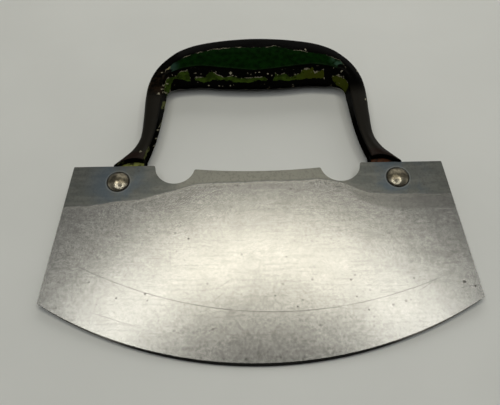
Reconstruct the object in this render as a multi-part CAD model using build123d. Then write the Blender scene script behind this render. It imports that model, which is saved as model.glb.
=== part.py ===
from build123d import *
import math
import os

# A mezzaluna: a curved chopping blade with a cast handle riveted behind its shoulders.
# All lengths are in millimetres. The pieces are drawn with the blade flat: x runs along the
# blade, y runs from the line between its lower corners to the handle, and z points out of its
# front face. z = 0 is the face where blade and handle meet. At the end the tool is laid on a
# level counter, touching it with the middle of its edge and with the back of its grip.

# Blade
blade_chord = 152.0
blade_shoulder_width = 140.4
blade_shoulder_height = 54.2
blade_edge_drop = 22.1
blade_thickness = 1.2
blade_corner_radius = 0.4
bevel_width = 0.9
edge_land = 0.2

# Top edge of the blade: its notches and the bridge between them, below the shoulders
notch_spacing = 63.0
notch_radius = 7.65
notch_depth = 8.0
notch_corner_radius = 0.7
bridge_drop = 1.0
bridge_dip = 2.1

# Rivets: their distance apart, and how far they are below the blade's shoulders
rivet_spacing = 105.4
rivet_drop = 6.8
rivet_shank_diameter = 4.8
rivet_head_diameter = 8.4
rivet_head_height = 1.7
rivet_rim_height = 0.3
rivet_tail_diameter = 7.2
rivet_tail_depth = 1.4
rivet_clearance = 0.05

# Handle: outer width across the legs, and height of the grip's top over the shoulders
handle_width = 90.9
handle_rise = 62.0

# Handle: width of its section, measured across the bar in the plane of the blade
grip_width = 21.5
leg_width = 5.5
foot_width = 11.4

# Handle: how far its section reaches in front of and behind the face on which the blade lies
grip_front = 4.5
grip_back = 9.0
leg_front = 2.8
leg_back = 5.2
waist_depth = 3.0
draft_angle = 23.0
front_edge_radius = 2.0
front_crown = 0.35

# Handle: the flat feet behind the blade, a little wider and thicker than the legs' ends, and
# the arched step above each foot
foot_back = 3.7
foot_thickness = 4.0
foot_margin = 0.15
foot_end_radius = 6.8
step_radius = 10.0
step_rise = 2.4
step_inset = 3.1
seat_clearance = 0.1

# Lying on the counter: depth of the flat on the back of the grip
rest_flat_depth = 0.4

# Spare length of every cutter
overrun = 5.0

# Stations of the handle's right half, from the middle of the grip to the foot. Each has the
# outer edge of the bar as shares of half the handle's width and of its height over the blade's
# shoulders, the direction in which that edge faces, and the shares of the way from the leg's
# section to the grip's width, to the grip's depth and to the foot's width. The last share
# tells how far back the front ridge stands from the inner side, against the draft's own run.
# The left half mirrors them, and smooth steps between two stations round the bar off.
steps_between_stations = 5
station_shares = [
    (0.000, 1.000, 90.0, 1.000, 1.00, 0.00, 1.00),
    (0.263, 0.989, 90.0, 0.930, 1.00, 0.00, 1.29),
    (0.515, 0.958, 87.0, 0.745, 0.97, 0.00, 1.40),
    (0.691, 0.910, 78.0, 0.600, 0.85, 0.00, 1.38),
    (0.805, 0.850, 71.0, 0.415, 0.60, 0.00, 1.15),
    (0.904, 0.766, 52.6, 0.235, 0.40, 0.00, 1.00),
    (0.968, 0.662, 21.0, 0.135, 0.20, 0.00, 0.60),
    (0.993, 0.542, 4.0, 0.135, 0.08, 0.00, 0.30),
    (0.997, 0.373, 0.0, 0.075, 0.00, 0.00, 0.20),
    (1.002, 0.253, 0.0, 0.012, 0.00, 0.00, 0.05),
    (1.020, 0.181, 0.0, 0.000, 0.00, 0.00, 0.00),
    (1.070, 0.111, 0.0, 0.000, 0.00, 0.19, 0.00),
    (1.138, 0.058, 0.0, 0.000, 0.00, 0.53, 0.00),
    (1.222, 0.000, 0.0, 0.000, 0.00, 1.00, 0.00),
]


def blend(start, end, share):
    """Value that lies a share of the way from start to end."""
    return start + (end - start) * share


def rivet_place(side):
    """Centre of the left or right rivet in the plane of the blade."""
    return side * rivet_spacing / 2, blade_shoulder_height - rivet_drop


def edge_circle(drop):
    """Circle through the blade's lower corners and a point this far below them."""
    radius = (blade_chord**2 / 4 + drop**2) / (2 * drop)
    return Pos(0, radius - drop) * Circle(radius)


def blank_face():
    """Sheet before its edge is cut: straight sides, two notches and a dished bridge."""
    half_chord = blade_chord / 2
    half_shoulder = blade_shoulder_width / 2
    spread = (half_chord - half_shoulder) / blade_shoulder_height
    below = blade_edge_drop + overrun
    face = make_face(
        Polyline(
            (half_chord + spread * below, -below),
            (half_shoulder, blade_shoulder_height),
            (-half_shoulder, blade_shoulder_height),
            (-half_chord - spread * below, -below),
            close=True,
        )
    )
    tips = face.vertices().group_by(Axis.Y)[-1]
    face = fillet(tips, blade_corner_radius)
    half_notch = notch_spacing / 2
    notch_height = blade_shoulder_height - notch_depth + notch_radius
    bridge_height = blade_shoulder_height - bridge_drop
    lid_height = blade_shoulder_height + overrun
    dish = ThreePointArc(
        (-half_notch, bridge_height),
        (0, bridge_height - bridge_dip),
        (half_notch, bridge_height),
    )
    lid = Polyline(
        (half_notch, bridge_height),
        (half_notch, lid_height),
        (-half_notch, lid_height),
        (-half_notch, bridge_height),
    )
    face -= make_face(Curve() + [dish, lid])
    for side in (-1, 1):
        face -= Pos(side * half_notch, notch_height) * Circle(notch_radius)
    reach = half_notch + notch_radius + notch_corner_radius
    upper = [v for v in face.vertices() if v.Y > bridge_height - bridge_dip]
    return fillet([v for v in upper if abs(v.X) < reach], notch_corner_radius)


def ground_lens():
    """Round body that meets the cutting edge, thinned to it from both faces of the sheet.

    The grinding is widest in the middle of the edge and runs out at the corners.
    """
    grind_depth = (blade_thickness - edge_land) / 2
    heel = edge_circle(blade_edge_drop - bevel_width)
    tip = edge_circle(blade_edge_drop)
    levels = [
        heel,
        Pos(0, 0, grind_depth) * tip,
        Pos(0, 0, blade_thickness - grind_depth) * tip,
        Pos(0, 0, blade_thickness) * heel,
    ]
    return loft(levels, ruled=True)


def make_blade():
    """Flat blade with both faces ground down to the cutting edge and a hole for each rivet."""
    blade = extrude(blank_face(), blade_thickness) & ground_lens()
    hole = Circle(rivet_shank_diameter / 2 + rivet_clearance)
    for side in (-1, 1):
        x, y = rivet_place(side)
        blade -= Pos(x, y, -overrun) * extrude(hole, blade_thickness + 2 * overrun)
    return blade


def ease(before, start, end, after, share):
    """Value on the smooth curve through four values, a share of the way from start to end."""
    bend = 2 * before - 5 * start + 4 * end - after
    twist = 3 * (start - end) + after - before
    return start + share * (end - before + share * (bend + share * twist)) / 2


def bar_stations():
    """Stations of the whole bar, from the left foot over the grip to the right foot."""
    mirrored = [(-row[0], row[1], 180 - row[2], *row[3:]) for row in station_shares[1:]]
    rows = mirrored[::-1] + station_shares
    stations = []
    for index in range(len(rows) - 1):
        last = len(rows) - 1
        near = [rows[max(index - 1, 0)], rows[index], rows[index + 1], rows[min(index + 2, last)]]
        for step in range(steps_between_stations):
            share = step / steps_between_stations
            stations.append([ease(*values, share) for values in zip(*near)])
    return stations + [rows[-1]]


def bar_place(shares):
    """Outer edge of the bar at a station, and the bar's width there."""
    across, up, facing, swell, deepen, splay, ridge = shares
    width = blend(blend(leg_width, grip_width, swell), foot_width, splay)
    return across * handle_width / 2, blade_shoulder_height + up * handle_rise, width


def bar_section(shares):
    """Section of the handle's bar: flat front, sloping inner side and rounded back."""
    across, up, facing, swell, deepen, splay, ridge = shares
    x, y, width = bar_place(shares)
    front = blend(leg_front, grip_front, deepen)
    back = blend(blend(leg_back, grip_back, deepen), foot_back, splay)
    out_x = math.cos(math.radians(facing))
    out_y = math.sin(math.radians(facing))
    plane = Plane(origin=(x, y, 0), x_dir=(out_x, out_y, 0), z_dir=(out_y, -out_x, 0))
    draft_run = (front + waist_depth) * math.tan(math.radians(draft_angle))
    ridge_offset = ridge * draft_run - width
    crown_offset = (ridge_offset - front_edge_radius) / 2
    face_line = ThreePointArc(
        (ridge_offset, front),
        (crown_offset, front + front_crown),
        (-front_edge_radius, front),
    )
    outer_round = TangentArc(
        (-front_edge_radius, front), (0, front - front_edge_radius), tangent=(1, 0)
    )
    outer_side = Line((0, front - front_edge_radius), (0, -waist_depth))
    rear = EllipticalCenterArc(
        (-width / 2, -waist_depth), width / 2, back - waist_depth, 0, arc_size=-180
    )
    inner_side = Line((-width, -waist_depth), (ridge_offset, front))
    outline = Curve() + [face_line, outer_round, outer_side, rear, inner_side]
    return plane * make_face(outline)


def foot_plate():
    """Right foot, flat behind the blade: round the end of the leg and round the rivet."""
    edges = (Pos(*rivet_place(1)) * Circle(foot_end_radius)).edges()
    for shares in station_shares[-2:]:
        x, y, width = bar_place(shares)
        edges += Line((x - width - foot_margin, y), (x + foot_margin, y)).edges()
    return extrude(make_hull(edges), -foot_thickness)


def rivet_shank(side, clearance):
    """Round shank with a conical tail that ends flush with the back of the foot."""
    radius = rivet_shank_diameter / 2 + clearance
    tail_radius = rivet_tail_diameter / 2 + clearance
    profile = Polyline(
        (0, -foot_thickness),
        (tail_radius, -foot_thickness),
        (radius, rivet_tail_depth - foot_thickness),
        (radius, blade_thickness),
        (0, blade_thickness),
        close=True,
    )
    shank = revolve(Plane.XZ * make_face(profile), Axis.Z)
    return Pos(*rivet_place(side)) * shank


def make_rivet(side):
    """Domed rivet through the blade's shoulder and the handle's foot."""
    radius = rivet_head_diameter / 2
    rim_top = blade_thickness + rivet_rim_height
    head_top = blade_thickness + rivet_head_height
    dome_height = rivet_head_height - rivet_rim_height
    dome_radius = (radius**2 + dome_height**2) / (2 * dome_height)
    half_angle = math.asin(radius / dome_radius) / 2
    middle = (dome_radius * math.sin(half_angle), head_top - dome_radius * (1 - math.cos(half_angle)))
    dome = ThreePointArc((radius, rim_top), middle, (0, head_top))
    under = Polyline((0, head_top), (0, blade_thickness), (radius, blade_thickness), (radius, rim_top))
    head = revolve(Plane.XZ * make_face(Curve() + [dome, under]), Axis.Z)
    return Pos(*rivet_place(side)) * head + rivet_shank(side, 0)


def blade_space():
    """Room in front of the feet: where the blade lies, with an arched step above each foot."""
    foot_x, foot_y, width = bar_place(station_shares[-1])
    step_x = foot_x - width + step_inset
    step_y = foot_y + step_rise - step_radius
    space = Pos(0, foot_y + seat_clearance - overrun) * Rectangle(blade_chord, 2 * overrun)
    for side in (-1, 1):
        space += Pos(side * step_x, step_y) * Circle(step_radius)
    return extrude(space, grip_front + overrun)


def make_handle():
    """One casting: a lofted bar from foot to foot, and two flat feet behind the blade."""
    handle = loft([bar_section(shares) for shares in bar_stations()]) - blade_space()
    foot = foot_plate()
    handle += [foot, mirror(foot, Plane.YZ)]
    for side in (-1, 1):
        handle -= rivet_shank(side, rivet_clearance)
    return handle


def lie_down(pieces):
    """Tilt the tool onto its edge and its grip, and flatten the grip where it touches."""
    heel_height = bevel_width - blade_edge_drop
    grip_height = blade_shoulder_height + handle_rise - grip_width / 2
    rest_depth = grip_back - rest_flat_depth
    tilt = math.degrees(math.atan2(rest_depth, grip_height - heel_height))
    laid = {}
    for name, piece in pieces.items():
        laid[name] = Rot(X=tilt) * Pos(0, -heel_height, 0) * piece
    laid["handle"] = split(laid["handle"], bisect_by=Plane.XY, keep=Keep.TOP)
    whole = Compound([s for piece in laid.values() for s in piece.solids()]).bounding_box()
    centre = Pos(-whole.center().X, -whole.center().Y, -whole.min.Z)
    return {name: centre * piece for name, piece in laid.items()}


def build():
    """All pieces of the tool, lying on the counter."""
    return lie_down(
        {
            "blade": make_blade(),
            "handle": make_handle(),
            "rivet_left": make_rivet(-1),
            "rivet_right": make_rivet(1),
        }
    )


os.makedirs("parts", exist_ok=True)
for node, solid in build().items():
    export_step(solid, os.path.join("parts", node + ".step"))
    size = solid.bounding_box().size
    print(f"{node}: {len(solid.solids())} solid, {size.X:.2f} x {size.Y:.2f} x {size.Z:.2f} mm")
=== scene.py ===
# %% [markdown]
# # A mezzaluna on a pale counter
#
# The real object is a sheet of stainless steel with a curved edge, riveted in front of a painted
# iron handle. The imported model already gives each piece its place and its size, so this lesson
# loads it as a fixed frame. The blade's exact solid stays. The casting and the rivets get softer,
# more worn surfaces of their own, and everything gets the finish of the real material.

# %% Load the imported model
import math

import bmesh
import bpy
from mathutils import Matrix, Vector


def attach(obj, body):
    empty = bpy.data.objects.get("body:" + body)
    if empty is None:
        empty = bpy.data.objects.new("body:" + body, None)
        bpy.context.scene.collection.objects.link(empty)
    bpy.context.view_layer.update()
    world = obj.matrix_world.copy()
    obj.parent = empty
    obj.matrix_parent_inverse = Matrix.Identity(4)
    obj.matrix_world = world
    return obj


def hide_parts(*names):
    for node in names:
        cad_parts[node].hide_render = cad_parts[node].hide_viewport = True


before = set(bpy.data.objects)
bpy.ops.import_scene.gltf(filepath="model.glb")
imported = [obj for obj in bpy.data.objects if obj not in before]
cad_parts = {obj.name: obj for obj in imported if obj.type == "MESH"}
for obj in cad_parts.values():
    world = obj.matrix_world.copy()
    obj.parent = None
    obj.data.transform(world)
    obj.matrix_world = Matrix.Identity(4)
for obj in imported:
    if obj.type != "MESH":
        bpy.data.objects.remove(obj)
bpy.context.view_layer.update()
mm = 0.001
print("pieces of the frame:", sorted(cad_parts))

# %% [markdown]
# The tool lies on the middle of its edge and on the back of its grip, so the sheet leans back by
# four degrees. Marks on steel and paint are easier to place on the flat sheet: x along the blade,
# y from the line between its lower corners to the handle, z from its back, on the handle's feet,
# to its front, all in millimetres. One turn and one shift lead from the counter to those axes.

# %% The sheet's own axes
grip_back_depth = 8.6
grip_back_reach = 126.65
heel_drop = 21.2
heel_reach = 68.175
lean = math.atan2(grip_back_depth, grip_back_reach)
heel_on_sheet = Vector((0, -heel_drop, 0))
heel_on_counter = Vector((0, -heel_reach, 0))
lay_flat = Matrix.Rotation(-lean, 3, "X")
sheet_shift = heel_on_sheet - lay_flat @ heel_on_counter
print(f"the sheet leans back by {math.degrees(lean):.2f} degrees")


def on_counter(x, y, z):
    """Place in the scene, in metres, of a point given in the sheet's own millimetres."""
    return (lay_flat.transposed() @ (Vector((x, y, z)) - sheet_shift)) * mm


# %% [markdown]
# Every node of every material and every Geometry Nodes tree is added by one small function. It
# takes the node's inputs by name or number, each as a plain value or as a link, and hands back
# one output, ready to be the next node's input. A colour is written as in a paint program, and
# turned to the linear values that Blender works with.

# %% Add a node
def add(tree, kind, inputs=None, out=0, **settings):
    """Adds a node with its settings and inputs, and returns one of its outputs."""
    node = tree.nodes.new(kind)
    for name, value in settings.items():
        setattr(node, name, value)
    for key, value in (inputs or {}).items():
        if isinstance(value, bpy.types.NodeSocket):
            tree.links.new(value, node.inputs[key])
        else:
            node.inputs[key].default_value = value
    return node.outputs[out] if node.outputs else None


def ink(code):
    """Linear colour of an sRGB hex code."""
    shares = [int(code[i : i + 2], 16) / 255 for i in (1, 3, 5)]
    return [s / 12.92 if s <= 0.04045 else ((s + 0.055) / 1.055) ** 2.4 for s in shares] + [1.0]


# %% [markdown]
# A material here starts as an empty tree. Its first nodes turn the object's own coordinates into
# the sheet's millimetres, so that a mark stays where it is on the piece, whatever the camera does.

# %% Start and finish a material
def start_material(name):
    """A new material, its empty tree, and the sheet's coordinates in millimetres."""
    material = bpy.data.materials.new(name)
    material.use_nodes = True
    tree = material.node_tree
    tree.nodes.clear()
    object_place = add(tree, "ShaderNodeTexCoord", out=3)
    inputs = {"Vector": object_place, "Location": sheet_shift}
    inputs.update({"Rotation": (-lean, 0, 0), "Scale": [1 / mm] * 3})
    place = add(tree, "ShaderNodeMapping", inputs)
    return material, tree, place


def finish_material(material, tree, **sockets):
    """Adds the surface shader, with its sockets filled, and the material's output."""
    names = {name.replace("_", " ").capitalize(): value for name, value in sockets.items()}
    shader = add(tree, "ShaderNodeBsdfPrincipled")
    for socket in shader.node.inputs:
        value = names.get(socket.name.capitalize())
        if isinstance(value, bpy.types.NodeSocket):
            tree.links.new(value, socket)
        elif value is not None:
            socket.default_value = value
    add(tree, "ShaderNodeOutputMaterial", {"Surface": shader})
    print("finish:", material.name, "with", len(tree.nodes), "nodes")
    return material


# %% [markdown]
# Wear is drawn with a few shapes. Limits on a distance, a height or a slope make a mask, and a
# coat is a colour laid over another one where its limits hold. Each limit is a value with two
# ends: the mask is off at the first and on at the second, and fades between them.

# %% Masks and coats
def where(tree, *limits):
    """Mask that is on where every limit holds: (value, off, on), another mask, or a strength."""
    result = None
    for limit in limits:
        if isinstance(limit, tuple):
            value, off, on = limit
            ends = {"Value": value, "From Min": off, "From Max": on}
            limit = add(tree, "ShaderNodeMapRange", ends, interpolation_type="SMOOTHSTEP")
        if result is not None:
            limit = add(tree, "ShaderNodeMath", {0: result, 1: limit}, operation="MULTIPLY")
        result = limit
    return result


def either(tree, *masks):
    """Mask that is on where any of these is on."""
    result = masks[0]
    for mask in masks[1:]:
        result = add(tree, "ShaderNodeMath", {0: result, 1: mask}, operation="MAXIMUM")
    return result


def coated(tree, under, over, *limits):
    """A colour with a coat of another colour over it, where the limits hold."""
    inputs = {0: where(tree, *limits), 6: under, 7: over}
    return add(tree, "ShaderNodeMix", inputs, out=2, data_type="RGBA")


# %% [markdown]
# A ragged place is the plain place pushed about by noise, so that a mask's outline frays like
# chipped paint or a wheel's last stroke. A drawn line follows an outline along the object through
# a few given points. Spots are single, and specks are strewn by a cell pattern, which costs one
# node where a list of hundreds of spots would cost thousands.

# %% Ragged places, lines, spots and specks
def ragged(tree, place, size, reach):
    """The place, pushed about by up to this many millimetres."""
    inputs = {"Vector": place, "Scale": 1 / size, "Detail": 3.0}
    push = add(tree, "ShaderNodeTexNoise", inputs, out=1)
    centred = add(tree, "ShaderNodeVectorMath", {0: push, 1: (0.5, 0.5, 0.5)}, operation="SUBTRACT")
    scaled = add(tree, "ShaderNodeVectorMath", {0: centred, "Scale": 4 * reach}, operation="SCALE")
    return add(tree, "ShaderNodeVectorMath", {0: place, 1: scaled}, operation="ADD")


def past_line(tree, along, across, points):
    """How far a place lies past a line through these points, in millimetres across it."""
    left, right = min(x for x, y in points), max(x for x, y in points)
    low, high = min(y for x, y in points), max(y for x, y in points)
    share = add(tree, "ShaderNodeMapRange", {"Value": along, "From Min": left, "From Max": right})
    curve = add(tree, "ShaderNodeFloatCurve", {"Value": share})
    mapping = curve.node.mapping
    bends = [((x - left) / (right - left), (y - low) / (high - low)) for x, y in points]
    for bend in bends[1:-1]:
        mapping.curves[0].points.new(*bend)
    mapping.curves[0].points[0].location = bends[0]
    mapping.curves[0].points[-1].location = bends[-1]
    for point in mapping.curves[0].points:
        point.handle_type = "VECTOR"
    mapping.update()
    height = add(tree, "ShaderNodeMapRange", {"Value": curve, "To Min": low, "To Max": high})
    return add(tree, "ShaderNodeMath", {0: across, 1: height}, operation="SUBTRACT")


def spot(tree, place, centre, off, on):
    """Round mask about a centre: off at the one distance from it, on at the other."""
    away = add(tree, "ShaderNodeVectorMath", {0: place, 1: centre}, out=1, operation="DISTANCE")
    return where(tree, (away, off, on))


def specks(tree, place, spacing, radius, share, dimensions="3D"):
    """Small dots, strewn about this far apart. Only a share of the cells has one."""
    inputs = {"Vector": place, "Scale": 1 / spacing, "Randomness": 1.0}
    cells = add(tree, "ShaderNodeTexVoronoi", inputs, voronoi_dimensions=dimensions).node
    near = (cells.outputs[0], radius / spacing, 0.5 * radius / spacing)
    return where(tree, (cells.outputs[1], 1 - share, 1.02 - share), near)


# %% [markdown]
# The counter is a smooth, slightly stained white laminate. One large flat plane is enough, since
# nothing of it is seen but its colour and the shadows on it.

# %% Counter
counter_size = 4000 * mm
stain_width = 45


def counter_finish():
    """Laminate pressed smooth: an even matt white, with faint stains a few centimetres across."""
    material, tree, place = start_material("off-white laminate")
    stain = add(tree, "ShaderNodeTexNoise", {"Vector": place, "Scale": 1 / stain_width, "Detail": 4.0})
    colour = coated(tree, ink("#D7D9D5"), ink("#DADCD8"), (stain, 0.35, 0.7))
    return finish_material(material, tree, base_color=colour, roughness=0.6)


bpy.ops.mesh.primitive_plane_add(size=counter_size)
counter = bpy.context.object
counter.name = "counter"
counter.data.materials.append(counter_finish())

# %% [markdown]
# The camera looks down at the tool from in front, as a person does who is about to pick it up.
# Its place and its lens follow from the photograph's perspective: the width of the blade against
# its depth gives the height of the eye, and the far grip against the near edge gives the distance.

# %% Camera
eye = Vector((-2.369, -124.555, 188.718)) * mm
target = Vector((-3.114, -6.367, 0)) * mm
roll = math.radians(-1.26)
film_width = 36
lens_length = 42.222
camera_data = bpy.data.cameras.new("eye")
camera_data.sensor_width = film_width
camera_data.lens = lens_length
camera_data.clip_start = 5 * mm
camera = bpy.data.objects.new("eye", camera_data)
bpy.context.collection.objects.link(camera)
aim = (target - eye).to_track_quat("-Z", "Y").to_matrix()
camera.matrix_world = Matrix.Translation(eye) @ (aim @ Matrix.Rotation(roll, 3, "Z")).to_4x4()
bpy.context.scene.camera = camera
print(f"the eye is {(target - eye).length / mm:.0f} mm away from the middle of the picture")

# %% [markdown]
# Dulled steel shows its lamps as broad soft patches, so the lamps matter more than any colour.
# A ring of soft panels hangs over the eye, level with the ceiling. Its far side is what the blade
# throws back as a bright arch with a dimmer middle, and its near side gives each rivet its lower
# highlight. A wide soft lamp beyond the grip, lower down and a little to the right, lights the
# counter's far end most and lays the shadows towards the eye.

# %% Lamps
ring_centre = Vector((17, -90, 800)) * mm
ring_radius = 338 * mm
panel_width = 110 * mm
panel_count = 12
panel_light = 0.345
far_share = 1.2
side_share = 0.72
near_share = 0.4
window_place = Vector((250, 900, 500)) * mm
window_width = 1200 * mm
window_height = 500 * mm
window_light = 3.3
side_white = (0.975, 0.99, 1.0)
far_white = (1.0, 0.935, 0.79)
window_white = (1.0, 0.985, 0.95)


def hang_panel(name, place, turn, width, length, power, white):
    """One soft panel, unseen by the camera. Turned by nothing, it faces straight down."""
    lamp_data = bpy.data.lights.new(name, "AREA")
    lamp_data.shape = "RECTANGLE"
    lamp_data.size = width
    lamp_data.size_y = length
    lamp_data.energy = power
    lamp_data.color = white
    lamp = bpy.data.objects.new(name, lamp_data)
    lamp.location = place
    lamp.rotation_euler = turn
    lamp.visible_camera = False
    bpy.context.collection.objects.link(lamp)


panel_length = 2 * ring_radius * math.tan(math.pi / panel_count)
for number in range(panel_count):
    angle = 2 * math.pi * (number + 0.5) / panel_count
    far = max(0.0, math.sin(angle))
    near = max(0.0, -math.sin(angle))
    power = panel_light * (side_share + (far_share - side_share) * far + (near_share - side_share) * near)
    white = [plain + (warm - plain) * far for plain, warm in zip(side_white, far_white)]
    place = ring_centre + ring_radius * Vector((math.cos(angle), math.sin(angle), 0))
    hang_panel(f"panel_{number + 1}", place, (0, 0, angle), panel_width, panel_length, power, white)
facing_down = (-math.atan2(window_place.y, window_place.z), 0, 0)
hang_panel("window", window_place, facing_down, window_width, window_height, window_light, window_white)
print(f"{panel_count} panels of {panel_width / mm:.0f} by {panel_length / mm:.0f} mm")

# %% [markdown]
# A dim grey room does the rest. Its walls are lighter than its ceiling, and the person who stands
# before the counter shades the near side. The lowest strip of the walls is pale, a plain backdrop
# for a low view, and metal reflects the same strip. Heights and directions here are those of a
# line of sight of length 1.

# %% Room
wall_light = 0.5
ceiling_light = 0.19
onlooker_shade = 0.1
wall_heights = (0.15, 0.7)
onlooker_depths = (-0.6, 0.1)
backdrop_heights = (0.26, 0.18)
world = bpy.data.worlds.new("room")
bpy.context.scene.world = world
world.use_nodes = True
room = world.node_tree
room.nodes.clear()
toward = add(room, "ShaderNodeTexCoord")
north, up = add(room, "ShaderNodeSeparateXYZ", {0: toward}).node.outputs[1:]
walls = {"Value": up, "From Min": wall_heights[0], "From Max": wall_heights[1]}
walls.update({"To Min": wall_light, "To Max": ceiling_light})
behind = {"Value": north, "From Min": onlooker_depths[0], "From Max": onlooker_depths[1]}
behind.update({"To Min": onlooker_shade, "To Max": 1.0})
wall_glow = add(room, "ShaderNodeMapRange", walls)
shade = add(room, "ShaderNodeMapRange", behind)
glow = add(room, "ShaderNodeMath", {0: wall_glow, 1: shade}, operation="MULTIPLY")
dim_room = add(room, "ShaderNodeBackground", {"Color": ink("#F0F1EE"), "Strength": glow})
backdrop = add(room, "ShaderNodeBackground", {"Color": ink("#CFCEC8"), "Strength": 1.0})
low = where(room, (up, *backdrop_heights))
surface = add(room, "ShaderNodeMixShader", {0: low, 1: dim_room, 2: backdrop})
add(room, "ShaderNodeOutputWorld", {"Surface": surface})
bpy.context.scene.view_settings.view_transform = "Standard"
print("room:", len(room.nodes), "nodes")

# %% [markdown]
# The blade is a sheet of stainless steel, rolled, then polished on a wheel that didn't reach the
# strip along the handle. Years of drying and scouring have dulled it. Its solid is exact, so it
# stays, and only gets its finish. The wheel's border comes first. A painted mask would need an
# image, so the border is a line through a few points, with a duller patch below it on the right.

# %% Blade: where the wheel stopped
wheel_line = [
    (-76, 36.8), (-61.7, 37.3), (-53.6, 38.6), (-44.7, 39.4), (-40.5, 40.5), (-35.6, 41.9), (-31.3, 43.3),
    (-27.4, 44.4), (-21.7, 45.8), (0.1, 46.3), (15, 46.6), (23.4, 47.2), (29.1, 45.8), (32.8, 44.8),
    (35.7, 43.4), (38.3, 42.1), (40.8, 41.2), (43.8, 40.5), (47.5, 40.2), (76, 39.7),
]
dull_line = [(24, 48), (33.7, 42.3), (37.7, 38.0), (42.6, 35.4), (49.6, 34.6), (62.4, 34.1), (76, 34.2)]
dull_start = (31, 38)
wheel_fray_size = 7
wheel_fray = 0.4

# Scoured stainless steel gives the eye broad soft reflections, broken up by a fine grain.
steel, tree, place = start_material("dulled stainless steel")
x, y, z = add(tree, "ShaderNodeSeparateXYZ", {0: place}).node.outputs
frayed = ragged(tree, place, wheel_fray_size, wheel_fray)
fx, fy = add(tree, "ShaderNodeSeparateXYZ", {0: frayed}).node.outputs[:2]
past_wheel = past_line(tree, fx, fy, wheel_line)
raw = where(tree, (past_wheel, -0.4, 0.5))
lip = where(tree, (past_wheel, -1.4, -0.5), (past_wheel, 0.1, -0.3))
dull = where(tree, (past_line(tree, fx, fy, dull_line), -0.5, 0.6), (x, *dull_start))
print("the polish ends along", len(wheel_line), "points")

# %% [markdown]
# Scoured steel isn't one grey. It is cloudy over a centimetre or two and mottled by the grit that
# scoured it. The real grit leaves a grain of a tenth of a millimetre, too fine to show here, so it
# is drawn at 0.8 mm, the finest that shows. Rolling leaves faint streaks along the sheet where the
# wheel never was, and the bridge between the notches is lighter than the shoulders.

# %% Blade: colours of the steel
cloud_width = 14
mottle_width = 0.8
blotch_width = 3.2
streaks = (0.10, 0.5, 0.5)
streak_turn = 0.25
bridge_left = (-34, -27)
bridge_right = (36, 31)

clouds = {"Vector": place, "Scale": 1 / cloud_width, "Detail": 4.0, "Roughness": 0.6}
cloud = add(tree, "ShaderNodeTexNoise", clouds)
grains = {"Vector": place, "Scale": 1 / mottle_width, "Detail": 1.5, "Roughness": 0.6}
mottle = add(tree, "ShaderNodeTexNoise", grains)
blotch = add(tree, "ShaderNodeTexNoise", {"Vector": place, "Scale": 1 / blotch_width, "Detail": 2.0})
drawn_out = {"Vector": place, "Rotation": (0, 0, streak_turn), "Scale": streaks}
rolled = add(tree, "ShaderNodeMapping", drawn_out)
streak = add(tree, "ShaderNodeTexNoise", {"Vector": rolled, "Scale": 1.0, "Detail": 4.0})
bright = coated(tree, ink("#949593"), ink("#9B9C9A"), (cloud, 0.35, 0.65))
bright = coated(tree, bright, ink("#6A6966"), (mottle, 0.60, 0.36), 0.29)
bright = coated(tree, bright, ink("#74736E"), (blotch, 0.56, 0.36), 0.07)
bright = coated(tree, bright, ink("#B4B3AE"), lip, 0.25)
bright = coated(tree, bright, ink("#6C6D69"), dull, 0.45)
dark = coated(tree, ink("#5A5D5B"), ink("#656764"), (streak, 0.38, 0.62))
bridge = where(tree, (x, *bridge_left), (x, *bridge_right), (past_wheel, 0.0, 1.0))
dark = coated(tree, dark, ink("#777872"), bridge)
dark = coated(tree, dark, ink("#444543"), (mottle, 0.55, 0.3), 0.3)
colour = coated(tree, bright, dark, raw)
print("mottle of", mottle_width, "mm on clouds of", cloud_width, "mm")

# %% [markdown]
# Scouring leaves short straight scratches and hairlines. A scratch could be a thin piece of mesh,
# but a mask is simpler: it is a round spot, turned and squeezed thin. Hairlines are noise that is
# stretched along one direction. A real hairline is a few hundredths of a millimetre wide and is
# drawn wider, so that it shows.

# %% Blade: how scratches are drawn
def scratched(tree, place, x, y, angle, half_length, half_width=0.16):
    """One straight scratch: where it is centred, its angle in degrees and its half length."""
    turn = Matrix.Rotation(-math.radians(angle), 3, "Z")
    shift = turn @ Vector((-x, -y, 0))
    inputs = {"Vector": place, "Location": shift, "Rotation": (0, 0, -math.radians(angle))}
    turned = add(tree, "ShaderNodeMapping", inputs)
    shrink = {0: turned, 1: (1 / half_length, 1 / half_width, 0)}
    scaled = add(tree, "ShaderNodeVectorMath", shrink, operation="MULTIPLY")
    return spot(tree, scaled, (0, 0, 0), 1.0, 0.4)


def hairlines(tree, place, angle):
    """Faint scouring lines, a few millimetres apart and about a finger's width long."""
    inputs = {"Vector": place, "Rotation": (0, 0, math.radians(angle)), "Scale": (0.05, 1.3, 1)}
    stretched = add(tree, "ShaderNodeMapping", inputs)
    lines = add(tree, "ShaderNodeTexNoise", {"Vector": stretched, "Scale": 1.0, "Detail": 1.0})
    return where(tree, (lines, 0.60, 0.70))


# %% [markdown]
# The chopping bowl has left one long scratch, the arc along which the blade was rocked: it is
# where the height over a parabola is nearly nothing. The short scratches that can be told apart
# are placed one by one, by centre, angle and half length. The raw strip takes no scratches.

# %% Blade: scratches
bowl_mark_x = 6.0
bowl_mark_y = -4.2
bowl_mark_bend = 0.0036
bowl_mark_width = (0.26, 0.06)
bowl_mark_left = (-68, -62)
bowl_mark_right = (66, 58)
bowl_mark_gaps = 6
scratches = [
    (-46.4, 10.4, 67, 2.6), (-31.5, 16.1, 93, 6.5), (52.8, 12.9, 25, 2.6), (-11.7, 6.5, 36, 4.5),
    (-14.3, 1.3, 39, 3.4), (37.5, 4.9, 19, 1.8), (18.9, 8.9, 5, 1.6), (-59.9, 18.6, -38, 4.0),
    (-48.8, -6.2, -18, 14.5), (56.8, 4.1, 31, 4.7),
]
scouring_angles = (12, -37, 78)

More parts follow.
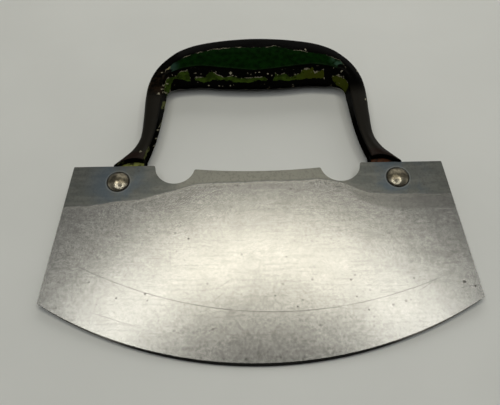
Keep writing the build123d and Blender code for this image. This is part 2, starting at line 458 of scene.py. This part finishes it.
from_centre = add(tree, "ShaderNodeMath", {0: x, 1: bowl_mark_x}, operation="SUBTRACT")
bowl = add(tree, "ShaderNodeMath", {0: from_centre, 1: 2.0}, operation="POWER")
arc = {0: bowl, 1: bowl_mark_bend, 2: bowl_mark_y}
arc = add(tree, "ShaderNodeMath", arc, operation="MULTIPLY_ADD")
above = add(tree, "ShaderNodeMath", {0: y, 1: arc}, operation="SUBTRACT")
gap = add(tree, "ShaderNodeMath", {0: above}, operation="ABSOLUTE")
worn_away = add(tree, "ShaderNodeTexNoise", {"Vector": place, "Scale": 1 / bowl_mark_gaps, "Detail": 2.0})
scratch = where(tree, (gap, *bowl_mark_width), (x, *bowl_mark_left), (x, *bowl_mark_right), worn_away)
for mark in scratches:
    scratch = either(tree, scratch, where(tree, scratched(tree, place, *mark), 0.35))
for angle in scouring_angles:
    scratch = either(tree, scratch, where(tree, hairlines(tree, frayed, angle), 0.12))
marks = where(tree, scratch, (raw, 1.0, 0.0))
print("scratches placed one by one:", len(scratches))

# %% [markdown]
# Grit leaves specks, and salt leaves pits. Most real specks are too small to show, so the strewn
# ones are drawn coarser than they are. They lie in a flat pattern, because a pattern in space
# would mostly pass the thin sheet by. The pits that can be told apart are placed by centre and
# radius.

# %% Blade: specks and pits
pits = [
    (-39.4, 2.9, 0.5), (-38.5, 0.4, 0.3), (70.1, 5.4, 0.6), (-25.3, 23.3, 0.45), (73.6, 3.9, 0.4),
    (31.3, 6.8, 0.4), (9.4, 15.7, 0.3), (32.7, 0.7, 0.3), (12.4, -2.5, 0.35), (-49.2, 1.5, 0.4),
    (-59.1, 7.5, 0.3), (5.0, 1.5, 0.35), (36.3, -4.0, 0.35),
]
speckings = [(3.2, 0.42, 0.32, 0.25), (9.0, 0.60, 0.35, 0.45)]

on_sheet = add(tree, "ShaderNodeCombineXYZ", {"X": x, "Y": y})
for spacing, radius, share, strength in speckings:
    dots = specks(tree, on_sheet, spacing, radius, share, "2D")
    marks = either(tree, marks, where(tree, dots, strength))
for px, py, radius in pits:
    marks = either(tree, marks, spot(tree, on_sheet, (px, py, 0), 1.2 * radius, 0.5 * radius))
colour = coated(tree, colour, ink("#3B3935"), marks, 0.8)
print("pits:", len(pits))

# %% [markdown]
# Water creeps under the rivet heads. It leaves a bluish stain on the raw strip round each of them.
# A dark line is painted on the sheet right against each head, with a paler ring outside it. Both
# rivets share the masks, which read the distance from the middle of the blade. The ground edge is
# what lies outside a circle, and is painted a darker grey: partly the ground bevel's own finish,
# partly painted shade along the edge. That circle goes through the lower corners and passes the
# edge's middle 0.9 mm inside it.

# %% Blade: round the rivets and along the edge
rivet_x = 52.7
rivet_y = 47.4
stain_radii = (15, 5)
ring_radii = (5.0, 4.7)
dark_line_radii = (4.6, 4.3)
front_skin = (0.9, 1.1)
half_chord = 76.0
edge_radius = (half_chord**2 + heel_drop**2) / (2 * heel_drop)
edge_centre = edge_radius - heel_drop

from_middle = add(tree, "ShaderNodeMath", {0: x}, operation="ABSOLUTE")
both_halves = add(tree, "ShaderNodeCombineXYZ", {"X": from_middle, "Y": y})
rivet_centre = (rivet_x, rivet_y, 0)
stained = spot(tree, both_halves, rivet_centre, *stain_radii)
colour = coated(tree, colour, ink("#4A5866"), stained, raw, (cloud, 0.4, 0.6), 0.6)
# A paler ring is painted on the sheet just outside each head.
pale_ring = spot(tree, both_halves, rivet_centre, *ring_radii)
colour = coated(tree, colour, ink("#8B8E8C"), pale_ring, (z, *front_skin), 0.3)
# A dark line is painted on the sheet right against each head.
dark_line = spot(tree, both_halves, rivet_centre, *dark_line_radii)
colour = coated(tree, colour, ink("#1F1D1A"), dark_line, (z, *front_skin), 0.85)
# The ground edge is painted darker: partly its own ground finish, partly painted shade along the edge.
ground_and_shade = spot(tree, on_sheet, (0, edge_centre, 0), edge_radius - 0.15, edge_radius + 0.05)
colour = coated(tree, colour, ink("#6E6D69"), ground_and_shade)
print(f"the edge's circle has a radius of {edge_radius:.1f} mm")

# %% [markdown]
# Polishing by hand leaves the sheet flat to a few hundredths of a millimetre, and such waves
# already bend what it reflects. They are too slight for the mesh, so a bump draws them, with the
# mottle and the scratches on top. Stainless steel is a metal, so it keeps the default IOR.

# %% Blade: finish
wave_width = 26
wave_height = 14.0
mottle_height = 0.20
scratch_depth = 0.6
bump_unit = 0.003 * mm
polished = (0.20, 0.28)
raw_roughness = 0.10

rough = {"Value": mottle, "To Min": polished[0], "To Max": polished[1]}
rough = add(tree, "ShaderNodeMapRange", rough)
rough = add(tree, "ShaderNodeMath", {0: raw, 1: raw_roughness, 2: rough}, operation="MULTIPLY_ADD")
waves = add(tree, "ShaderNodeTexNoise", {"Vector": place, "Scale": 1 / wave_width, "Detail": 1.0})
height = add(tree, "ShaderNodeMath", {0: mottle, 1: mottle_height}, operation="MULTIPLY")
height = add(tree, "ShaderNodeMath", {0: waves, 1: wave_height, 2: height}, operation="MULTIPLY_ADD")
height = add(tree, "ShaderNodeMath", {0: marks, 1: -scratch_depth, 2: height}, operation="MULTIPLY_ADD")
bump = add(tree, "ShaderNodeBump", {"Height": height, "Distance": bump_unit, "Strength": 1.0})
finish_material(steel, tree, base_color=colour, metallic=1.0, roughness=rough, normal=bump)

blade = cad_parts["blade"]
for slot in blade.material_slots:
    slot.material = steel
print("blade:", len(blade.data.polygons), "faces of the exact solid")

# %% [markdown]
# The handle is one iron casting under several coats of paint. A solid has crisp edges, but a
# painted casting hasn't, so a copy of the solid is remeshed in cells of 0.4 mm and smoothed.
# A bevel would round the edges too, but not evenly where the loft's faces run into each other.

# %% Handle: soft copy of the solid
cell = 0.4 * mm
smoothing_rounds = 2


def soft_copy(node, name):
    """Copy of a node with its triangles joined, remeshed and smoothed."""
    piece = bpy.data.objects.new(name, node.data.copy())
    bpy.context.collection.objects.link(piece)
    joined = bmesh.new()
    joined.from_mesh(piece.data)
    bmesh.ops.remove_doubles(joined, verts=joined.verts, dist=0.001 * mm)
    joined.to_mesh(piece.data)
    joined.free()
    remesh = piece.modifiers.new("cells", "REMESH")
    remesh.mode = "VOXEL"
    remesh.voxel_size = cell
    remesh.use_smooth_shade = True
    smooth = piece.modifiers.new("soft", "SMOOTH")
    smooth.factor = 0.5
    smooth.iterations = smoothing_rounds
    return piece


def bake(piece):
    """Turns a piece with its modifiers into a plain mesh."""
    finished = piece.evaluated_get(bpy.context.evaluated_depsgraph_get())
    mesh = bpy.data.meshes.new_from_object(finished)
    piece.modifiers.clear()
    piece.data = mesh
    print(f"{piece.name}: {len(mesh.vertices)} points, {len(mesh.polygons)} faces")


casting = soft_copy(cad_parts["handle"], "handle_casting")

# %% [markdown]
# The paint is the piece's whole character. Over the iron lies an old cream coat, then green, and
# last a near-black gloss, brushed on. It could be painted into an image, but masks over a few
# lines and limits stay sharp at any size. They need to know where they are on the sheet's axes,
# which way the surface faces, and how sharply it turns, which the Geometry Nodes further down
# will store. The outlines are frayed twice, once by about half a millimetre and once more finely.

# %% Handle: what the paint reads
coarse_fray = (2.8, 0.45)
fine_fray = (0.8, 0.26)
grain_width = 2.2
patch_width = 5

# Gloss enamel on cast iron gives the eye a smooth near-black, chipped and rubbed by use.
enamel, tree, place = start_material("chipped gloss enamel")
x, y, z = add(tree, "ShaderNodeSeparateXYZ", {0: place}).node.outputs
frayed = ragged(tree, ragged(tree, place, *coarse_fray), *fine_fray)
fx, fy, fz = add(tree, "ShaderNodeSeparateXYZ", {0: frayed}).node.outputs
facing = add(tree, "ShaderNodeTexCoord", out=1)
nx, ny, nz = add(tree, "ShaderNodeSeparateXYZ", {0: facing}).node.outputs
outer_side = add(tree, "ShaderNodeMath", {0: x}, operation="SIGN")
outward = add(tree, "ShaderNodeMath", {0: nx, 1: outer_side}, operation="MULTIPLY")
edge = add(tree, "ShaderNodeAttribute", out=2, attribute_name="edge_wear")
grain = add(tree, "ShaderNodeTexNoise", {"Vector": place, "Scale": 1 / grain_width, "Detail": 3.0})
patchy = add(tree, "ShaderNodeTexNoise", {"Vector": place, "Scale": 1 / patch_width, "Detail": 2.0})
print("the paint reads its place, its direction and", edge.node.attribute_name)

# %% [markdown]
# The front of the grip was picked out in dark green. The band's lower border is simply where the
# front ends, so a limit on the slope draws it. Its upper border was brushed freehand, so it is a
# line, and some of the cream coat shows along it.

# %% Handle: the green band
band_line = [
    (-37.9, 97.4), (-36.0, 100.9), (-33.4, 102.7), (-29.0, 105.9), (-24.0, 107.5), (-19.0, 109.0),
    (-9.7, 110.2), (4.2, 109.9), (8.5, 110.7), (17.2, 107.9), (23.0, 106.7), (29.2, 105.5),
    (35.7, 102.6), (37.4, 98.3),
]
band_left = (-37.8, -37.4)
band_right = (37.6, 37.2)

front = where(tree, (nz, 0.78, 0.90), (z, 2.0, 3.0), (fx, *band_left), (fx, *band_right))
past_band = past_line(tree, fx, fy, band_line)
left_tip = either(tree, where(tree, (fx, -34.8, -34.2)), where(tree, (fy, 99.2, 99.6)))
right_tip = either(tree, where(tree, (fx, 34.6, 34.0)), where(tree, (fy, 100.2, 100.6)))
band = where(tree, front, left_tip, right_tip, (past_band, 0.1, -0.15))
band_rim = where(tree, front, (past_band, 0.24, 0.08), (past_band, -0.18, -0.03), (patchy, 0.46, 0.54))
print("the band's upper border runs through", len(band_line), "points")

# %% [markdown]
# On the grip's inner face, where fingers rub, the black has flaked back to the green in a long
# ragged band. Two lines along the grip bound it, drawn in x and in z, the height over the sheet.
# Cream shows at its broken rim.

# %% Handle: flakes under the grip
flake_top = [
    (-38.6, -2.0), (-37.4, 1.4), (-36.6, 2.2), (-34.0, 1.7), (-31.1, 2.6), (-28.1, 2.9), (-26.9, -2.4),
    (-25.7, -2.4), (-25.2, 0.1), (-21.0, 0.0), (-19.6, 2.2), (-18.4, 2.8), (-16.6, 1.4), (-13.4, 0.5),
    (-10.1, 1.5), (-6.2, 0.8), (-0.3, 1.3), (4.1, 1.4), (5.0, -1.8), (7.0, -1.8), (8.0, 2.3),
    (10.7, 1.4), (12.0, 2.2), (14.4, 0.1), (18.8, 1.1), (19.8, 2.3), (23.8, 2.8), (25.0, 1.0),
    (28.6, 2.3), (29.2, -3.0), (31.2, -3.0), (32.0, 0.9), (36.2, 1.0), (38.8, 1.8),
]
flake_foot = [
    (-38.6, -4.0), (-36.4, -3.4), (-35.2, -0.6), (-33.8, 0.9), (-31.0, 0.1), (-28.4, -1.0),
    (-25.4, -0.9), (-21.3, -1.5), (-16.7, -0.4), (-10.9, -0.4), (-3.7, -1.0), (1.8, -0.1),
    (7.7, -0.4), (14.4, -0.7), (23.1, -1.0), (28.4, -0.8), (32.0, -0.4), (33.6, -2.6), (38.8, -4.0),
]

under_grip = where(tree, (y, 90, 92), (z, 4.2, 3.6), (ny, 0.3, 0.05))
past_top = past_line(tree, fx, fz, flake_top)
past_foot = past_line(tree, fx, fz, flake_foot)
flake = where(tree, under_grip, (past_top, 0.1, -0.1), (past_foot, -0.1, 0.1))
along_top = where(tree, (past_top, 0.42, 0.18), (past_top, -0.12, 0.05))
flake_rim = where(tree, under_grip, along_top, (past_foot, 0.0, 0.5), (grain, 0.46, 0.54))
print("the flaked band lies between lines of", len(flake_top), "and", len(flake_foot), "points")

# %% [markdown]
# The left leg's inner face has a flake of its own, a pale strip above it and another at the foot.
# The eye looks at that face from above, so a point that lies deeper shows lower. The height at
# which a point shows is what places the first two, and the chips of the next step.

# %% Handle: flakes on the left leg
leg_front = 3.0
view_slope = -0.74
flake_slope = -0.56
flake_start = 38.35

left_inner = where(tree, (x, -35.5, -36.5), (outward, -0.3, -0.6))
depth = add(tree, "ShaderNodeMath", {0: leg_front, 1: fz}, operation="SUBTRACT")
in_view = add(tree, "ShaderNodeMath", {0: depth, 1: view_slope, 2: fy}, operation="MULTIPLY_ADD")
leg_edge = {0: in_view, 1: flake_slope, 2: flake_start}
leg_edge = add(tree, "ShaderNodeMath", leg_edge, operation="MULTIPLY_ADD")
past_edge = add(tree, "ShaderNodeMath", {0: fz, 1: leg_edge}, operation="SUBTRACT")
leg_flake = where(tree, left_inner, (in_view, 70.7, 71.0), (in_view, 78.3, 78.0), (past_edge, 0.1, -0.1))
leg_rim = where(tree, left_inner, (in_view, 70.3, 71.0), (in_view, 79.0, 78.3))
leg_rim = where(tree, leg_rim, (past_edge, 0.7, 0.2), (past_edge, -0.5, 0.0))
strip = where(tree, left_inner, (in_view, 79.8, 80.2), (in_view, 84.1, 83.7))
strip = where(tree, strip, (fz, 0.8, 0.4), (grain, 0.34, 0.42))
low_strip = where(tree, left_inner, (y, 62.5, 61), (fz, 0.8, 1.6), (grain, 0.40, 0.5))
print("the left leg's flake gets", -flake_slope, "mm narrower with each mm upwards")

# %% [markdown]
# Small chips show the cream coat. Those on the legs' fronts sit where knuckles and other tools
# have hit, so they are placed one by one. Those along the grip are strewn.

# %% Handle: chips
leg_chips = [
    (-39.5, 87.5, 0.6), (-38.0, 91.9, 0.45), (-38.4, 90.0, 0.5), (-36.7, 93.0, 0.45), (-37.6, 88.3, 0.45),
    (-37.1, 85.3, 0.4), (-36.1, 88.7, 0.4), (-38.9, 98.3, 0.4), (42.2, 97.5, 0.5), (44.0, 82.9, 0.6),
    (35.6, 97.8, 0.45), (34.8, 95.8, 0.45), (32.4, 95.4, 0.35), (28.8, 94.5, 0.45), (21.3, 109.5, 0.4),
    (-39.5, 69.5, 0.5), (-40.0, 65.3, 0.45), (-40.0, 62.9, 0.45), (-40.7, 61.6, 0.45), (-40.8, 59.8, 0.5),
    (-44.6, 59.7, 0.5),
]

chips = either(tree, specks(tree, frayed, 1.5, 0.42, 0.36), specks(tree, frayed, 2.9, 0.75, 0.40))
chips = where(tree, chips, (y, 88, 91), (ny, -0.5, -0.7), (z, 3.9, 3.5), (patchy, 0.42, 0.5))
beside_flake = either(tree, where(tree, (z, 1.0, 2.2)), where(tree, (z, -1.4, -2.2)))
nicks = where(tree, chips, beside_flake)
over_front = add(tree, "ShaderNodeCombineXYZ", {"X": fx, "Y": in_view})
for px, py, radius in leg_chips:
    chip = spot(tree, over_front, (px, py, 0), radius, 0.5 * radius)
    nicks = either(tree, nicks, where(tree, chip, 0.75))
stray = where(tree, specks(tree, frayed, 7.0, 0.7, 0.16), (z, 1.0, -1.0))
print("chips placed one by one:", len(leg_chips))

# %% [markdown]
# Now the coats go on, from the black that covers most to the chips that lay the oldest bare. The
# legs' black is browner than the grip's, and lighter on their fronts, which face the lamps: partly
# worn paint, partly painted sheen. The band fades to a chalky blue-green at its tips, and to a
# yellowed cream at the left one. The flaked band is an old olive green, turning yellower to the
# right, with specks of black left on it.

# %% Handle: coats
on_leg = where(tree, (y, 92, 84))
coat = coated(tree, ink("#030302"), ink("#060605"), patchy)
# On the legs' fronts, which face up to the lamps, the black is painted lighter and browner: partly worn
# paint, partly painted sheen.
coat = coated(tree, coat, ink("#1B1914"), on_leg, (nz, 0.4, 0.9))
coat = coated(tree, coat, ink("#1F170F"), spot(tree, place, (-40.5, 92, 3.4), 9, 2), (grain, 0.40, 0.60))
green = coated(tree, ink("#031202"), ink("#072004"), (grain, 0.3, 0.7))
green = coated(tree, green, ink("#24382F"), (fx, -31.0, -34.5), (fy, 104.0, 101.4))
green = coated(tree, green, ink("#7C7A4E"), (fx, -35.2, -36.6))
green = coated(tree, green, ink("#30473A"), (fx, 30.0, 35.2), (grain, 0.40, 0.60))
olive = coated(tree, ink("#24320D"), ink("#3B5018"), (grain, 0.32, 0.68))
mossy = coated(tree, olive, ink("#3A410F"), (x, 12, 24))
mossy = coated(tree, mossy, ink("#0C0D07"), specks(tree, frayed, 1.3, 0.42, 0.34), 0.8)
chalky = add(tree, "ShaderNodeTexNoise", {"Vector": place, "Scale": 1 / 1.2, "Detail": 2.0})
cream = coated(tree, ink("#7F7A64"), ink("#BDB8A2"), chalky)
colour = coated(tree, coat, green, band)
colour = coated(tree, colour, mossy, either(tree, flake, leg_flake))
strips = either(tree, strip, where(tree, low_strip, 0.7))
colour = coated(tree, colour, ink("#6F7448"), strips, 0.7)
rims = either(tree, where(tree, band_rim, 0.5), where(tree, flake_rim, 0.65), where(tree, leg_rim, 0.6))
colour = coated(tree, colour, cream, either(tree, rims, nicks, where(tree, stray, 0.5)))
print("the coats make", len(tree.nodes), "nodes")

# %% [markdown]
# Bare, browned iron shows along the ridge over the inner face, where the surface turns sharply,
# and a little on the grip's back. The lower ends of the legs are scuffed to a dark brown. On the
# feet the black stops short of the blade: old green and a yellowish coat show on the left one,
# and rust on the right one.

# %% Handle: bare metal and old coats
ridge = where(tree, (edge, 0.42, 0.75), (z, 2.8, 3.6), (ny, 0.1, -0.1), (patchy, 0.38, 0.52))
ridge = where(tree, ridge, (x, -36, -10), (x, 38, 30))
colour = coated(tree, colour, ink("#4A4036"), ridge, 0.8)
scuffed = where(tree, (y, 60.5, 58.5), (nz, 0.4, 0.8), (z, 2.2, 2.8))
colour = coated(tree, colour, ink("#1D0F0A"), scuffed, 0.7)
seat = where(tree, (y, 58.4, 57.8), (nz, 0.5, 0.8), (z, 2.0, 1.0))
old_coat = coated(tree, ink("#2A2C0E"), ink("#8A8F48"), (grain, 0.36, 0.56))
rust = coated(tree, ink("#140B05"), ink("#56311A"), (grain, 0.38, 0.62))
colour = coated(tree, colour, coated(tree, old_coat, rust, (x, -1, 1)), seat)
rubbed = where(tree, (edge, 0.5, 0.8), (z, 0.0, -2.0), (patchy, 0.52, 0.6))
colour = coated(tree, colour, ink("#3A322B"), rubbed, 0.5)
print("with bare metal and old coats,", len(tree.nodes), "nodes")

# %% [markdown]
# Gloss enamel is smooth, but grime and wear have dimmed it. Its reflections are kept weak, weakest
# on the grip, which stays nearly black. The chips are a tenth of a millimetre deep, which a bump
# draws well enough.

# %% Handle: finish of the paint
gloss_roughness = (0.14, 0.26)
leg_roughness = 0.12
chip_roughness = 0.25
grip_gloss = 0.012
leg_gloss = 0.055
chip_depth = 0.10 * mm

chipped = either(tree, flake, leg_flake, ridge, nicks)
rough = {"Value": grain, "To Min": gloss_roughness[0], "To Max": gloss_roughness[1]}
rough = add(tree, "ShaderNodeMapRange", rough)
rough = add(tree, "ShaderNodeMath", {0: on_leg, 1: leg_roughness, 2: rough}, operation="MULTIPLY_ADD")
rough = add(tree, "ShaderNodeMath", {0: chipped, 1: chip_roughness, 2: rough}, operation="MULTIPLY_ADD")
gloss = add(tree, "ShaderNodeMath", {0: on_leg, 1: leg_gloss, 2: grip_gloss}, operation="MULTIPLY_ADD")
gloss = where(tree, gloss, (nz, 0.05, 0.4))
height = add(tree, "ShaderNodeMath", {0: grain, 1: 0.25}, operation="MULTIPLY")
height = add(tree, "ShaderNodeMath", {0: height, 1: chipped}, operation="SUBTRACT")
bump = add(tree, "ShaderNodeBump", {"Height": height, "Distance": chip_depth, "Strength": 1.0})
coats = {"base_color": colour, "metallic": 0.0, "roughness": rough, "specular_ior_level": gloss}
finish_material(enamel, tree, normal=bump, **coats)

# %% [markdown]
# Where a coat wears through first is plain geometry: on the edges that stick out. A tree of
# Geometry Nodes reads the angle between neighbouring faces, blurs it over a few points and stores
# it for the paint. It also lets the surface sink here and there by a tenth of a millimetre, as
# sand casting leaves it, always inwards, so that the casting gets no larger.

# %% Handle: worn casting
sink_depth = 0.12 * mm
hollow_width = 9 * mm
casting_seed = 4.0


def worn_casting(paint):
    """Tree that stores how sharply the surface turns and sinks it unevenly."""
    tree = bpy.data.node_groups.new("worn casting", "GeometryNodeTree")
    tree.interface.new_socket("Geometry", in_out="INPUT", socket_type="NodeSocketGeometry")
    depth = tree.interface.new_socket("Sink depth", in_out="INPUT", socket_type="NodeSocketFloat")
    hollow = tree.interface.new_socket("Hollow width", in_out="INPUT", socket_type="NodeSocketFloat")
    seed = tree.interface.new_socket("Seed", in_out="INPUT", socket_type="NodeSocketFloat")
    tree.interface.new_socket("Geometry", in_out="OUTPUT", socket_type="NodeSocketGeometry")
    start = add(tree, "NodeGroupInput").node.outputs
    angle = add(tree, "GeometryNodeInputMeshEdgeAngle", out=1)
    turn = add(tree, "GeometryNodeBlurAttribute", {"Value": angle, "Iterations": 5}, data_type="FLOAT")
    wear = add(tree, "ShaderNodeMapRange", {"Value": turn, "From Min": 0.04, "From Max": 0.25})
    inputs = {"Geometry": start[0], "Name": "edge_wear", "Value": wear}
    shape = add(tree, "GeometryNodeStoreNamedAttribute", inputs, data_type="FLOAT", domain="POINT")
    scale = add(tree, "ShaderNodeMath", {0: 1.0, 1: start[2]}, operation="DIVIDE")
    inputs = {"Scale": scale, "Detail": 3.0, "W": start[3]}
    cloud = add(tree, "ShaderNodeTexNoise", inputs, noise_dimensions="4D")
    sink = add(tree, "ShaderNodeMath", {0: cloud, 1: start[1]}, operation="MULTIPLY")
    sink = add(tree, "ShaderNodeMath", {0: sink, 1: -1.0}, operation="MULTIPLY")
    normal = add(tree, "GeometryNodeInputNormal")
    offset = add(tree, "ShaderNodeVectorMath", {0: normal, "Scale": sink}, operation="SCALE")
    shape = add(tree, "GeometryNodeSetPosition", {"Geometry": shape, "Offset": offset})
    shape = add(tree, "GeometryNodeRealizeInstances", {"Geometry": shape})
    shape = add(tree, "GeometryNodeSetMaterial", {"Geometry": shape, "Material": paint})
    add(tree, "NodeGroupOutput", {0: shape})
    sizes = {depth.identifier: sink_depth, hollow.identifier: hollow_width, seed.identifier: casting_seed}
    return tree, sizes


def apply_tree(piece, tree, sizes):
    """Gives a piece a Geometry Nodes tree with its sizes and turns the result into a plain mesh."""
    modifier = piece.modifiers.new(tree.name, "NODES")
    modifier.node_group = tree
    for identifier, value in sizes.items():
        modifier[identifier] = value
    bake(piece)


apply_tree(casting, *worn_casting(enamel))
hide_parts("handle")
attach(casting, "root")

# %% [markdown]
# Two domed rivets of nickel-plated steel hold the sheet to the feet. One profile, turned round
# its axis, gives tail, shank and head. A turned profile keeps its rim crisp, where a squashed
# sphere wouldn't have one.

# %% Rivets: one pattern
tail_radius = 3.6
tail_end = -4.0
tail_start = -2.6
shank_radius = 2.4
sheet_front = 1.2
head_radius = 4.2
rim_top = 1.5
dome_radius = 7.0
dome_top = 2.9
dome_steps = 8
rivet_profile = [
    (0, tail_end), (tail_radius, tail_end), (shank_radius, tail_start),
    (shank_radius, sheet_front), (head_radius, sheet_front), (head_radius, rim_top),
]
for step in range(1, dome_steps + 1):
    slope = math.asin(head_radius / dome_radius) * (1 - step / dome_steps)
    dome_height = dome_top - dome_radius * (1 - math.cos(slope))
    rivet_profile.append((dome_radius * math.sin(slope), dome_height))


def turned_profile(points, name, sides=64):
    """Mesh of a profile turned round its own axis, with both ends on the axis."""
    turned = bmesh.new()
    rings = []
    for across, height in points:
        count = 1 if across < 0.001 else sides
        angles = [2 * math.pi * k / sides for k in range(count)]
        radius = across * mm
        ring = [(radius * math.cos(a), radius * math.sin(a), height * mm) for a in angles]
        rings.append([turned.verts.new(point) for point in ring])
    for low, high in zip(rings, rings[1:]):
        for k in range(sides):
            corners = [low[k % len(low)], low[(k + 1) % len(low)]]
            corners += [high[(k + 1) % len(high)], high[k % len(high)]]
            turned.faces.new(list(dict.fromkeys(corners))).smooth = True
    bmesh.ops.recalc_face_normals(turned, faces=turned.faces)
    mesh = bpy.data.meshes.new(name)
    turned.to_mesh(mesh)
    turned.free()
    return mesh


pattern = bpy.data.objects.new("rivet_pattern", turned_profile(rivet_profile, "rivet_pattern"))
print("rivet pattern:", len(pattern.data.polygons), "faces")

# %% [markdown]
# Nickel plate ages to a warm grey-brown. The lower half of each head is painted brighter, a
# painted highlight, and the rim is painted dark.

# %% Rivets: finish
dent_width = 1.5
tarnish_width = 1.1
highlight_heights = (48.7, 47.1)
rim_heights = (1.75, 1.45)


def nickel_finish():
    """Nickel plate on a headed steel rivet: a warm, dented sheen, browned by age."""
    material, tree, place = start_material("aged nickel plate")
    y, z = add(tree, "ShaderNodeSeparateXYZ", {0: place}).node.outputs[1:]
    dents = add(tree, "ShaderNodeTexNoise", {"Vector": place, "Scale": 1 / dent_width, "Detail": 2.0})
    tarnish = add(tree, "ShaderNodeTexNoise", {"Vector": place, "Scale": 1 / tarnish_width, "Detail": 3.0})
    low_side = add(tree, "ShaderNodeMath", {0: tarnish, 1: 3.4, 2: y}, operation="MULTIPLY_ADD")
    # The lower half of each head is painted brighter: a painted highlight.
    painted_highlight = where(tree, (low_side, *highlight_heights))
    colour = coated(tree, ink("#4B463B"), ink("#6C6657"), (tarnish, 0.35, 0.65))
    colour = coated(tree, colour, ink("#ADA591"), painted_highlight)
    # The rim of each head is painted dark.
    colour = coated(tree, colour, ink("#2A2620"), (z, *rim_heights))
    bump = add(tree, "ShaderNodeBump", {"Height": dents, "Distance": 0.25 * mm, "Strength": 0.35})
    rough = add(tree, "ShaderNodeMapRange", {"Value": painted_highlight, "To Min": 0.36, "To Max": 0.24})
    return finish_material(material, tree, base_color=colour, metallic=1.0, roughness=rough, normal=bump)


# %% [markdown]
# A tree sets the pattern at each place, upright on the leaning sheet. The setting hammer has left
# small dents in the heads. The noise that draws them is read at each rivet's own place, so the two
# heads differ though they share one pattern.

# %% Rivets: set at their places
rivet_dent = 0.15 * mm
rivet_dent_width = 2.6 * mm
rivet_seed = 7.0


def set_rivets(pattern, nickel):
    """Tree that sets the pattern at each place, upright on the sheet, and dents the heads."""
    tree = bpy.data.node_groups.new("set rivets", "GeometryNodeTree")
    tree.interface.new_socket("Geometry", in_out="INPUT", socket_type="NodeSocketGeometry")
    model = tree.interface.new_socket("Pattern", in_out="INPUT", socket_type="NodeSocketObject")
    tilt = tree.interface.new_socket("Lean", in_out="INPUT", socket_type="NodeSocketFloat")
    dent = tree.interface.new_socket("Dent depth", in_out="INPUT", socket_type="NodeSocketFloat")
    seed = tree.interface.new_socket("Seed", in_out="INPUT", socket_type="NodeSocketFloat")
    tree.interface.new_socket("Geometry", in_out="OUTPUT", socket_type="NodeSocketGeometry")
    start = add(tree, "NodeGroupInput").node.outputs
    shape = add(tree, "GeometryNodeObjectInfo", {"Object": start[1]}, out=4)
    turn = add(tree, "ShaderNodeCombineXYZ", {"X": start[2]})
    inputs = {"Points": start[0], "Instance": shape, "Rotation": turn}
    shape = add(tree, "GeometryNodeInstanceOnPoints", inputs)
    shape = add(tree, "GeometryNodeRealizeInstances", {"Geometry": shape})
    inputs = {"Scale": 1 / rivet_dent_width, "Detail": 1.0, "W": start[4]}
    cloud = add(tree, "ShaderNodeTexNoise", inputs, noise_dimensions="4D")
    sink = add(tree, "ShaderNodeMath", {0: cloud, 1: start[3]}, operation="MULTIPLY")
    sink = add(tree, "ShaderNodeMath", {0: sink, 1: -1.0}, operation="MULTIPLY")
    normal = add(tree, "GeometryNodeInputNormal")
    offset = add(tree, "ShaderNodeVectorMath", {0: normal, "Scale": sink}, operation="SCALE")
    shape = add(tree, "GeometryNodeSetPosition", {"Geometry": shape, "Offset": offset})
    shape = add(tree, "GeometryNodeSetMaterial", {"Geometry": shape, "Material": nickel})
    add(tree, "NodeGroupOutput", {0: shape})
    sizes = {model.identifier: pattern, tilt.identifier: lean}
    sizes.update({dent.identifier: rivet_dent, seed.identifier: rivet_seed})
    return tree, sizes


rivet_points = bpy.data.meshes.new("rivet_places")
rivet_points.from_pydata([on_counter(side * rivet_x, rivet_y, 0) for side in (-1, 1)], [], [])
rivets = bpy.data.objects.new("rivets", rivet_points)
bpy.context.collection.objects.link(rivets)
apply_tree(rivets, *set_rivets(pattern, nickel_finish()))
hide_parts("rivet_left", "rivet_right")
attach(rivets, "root")
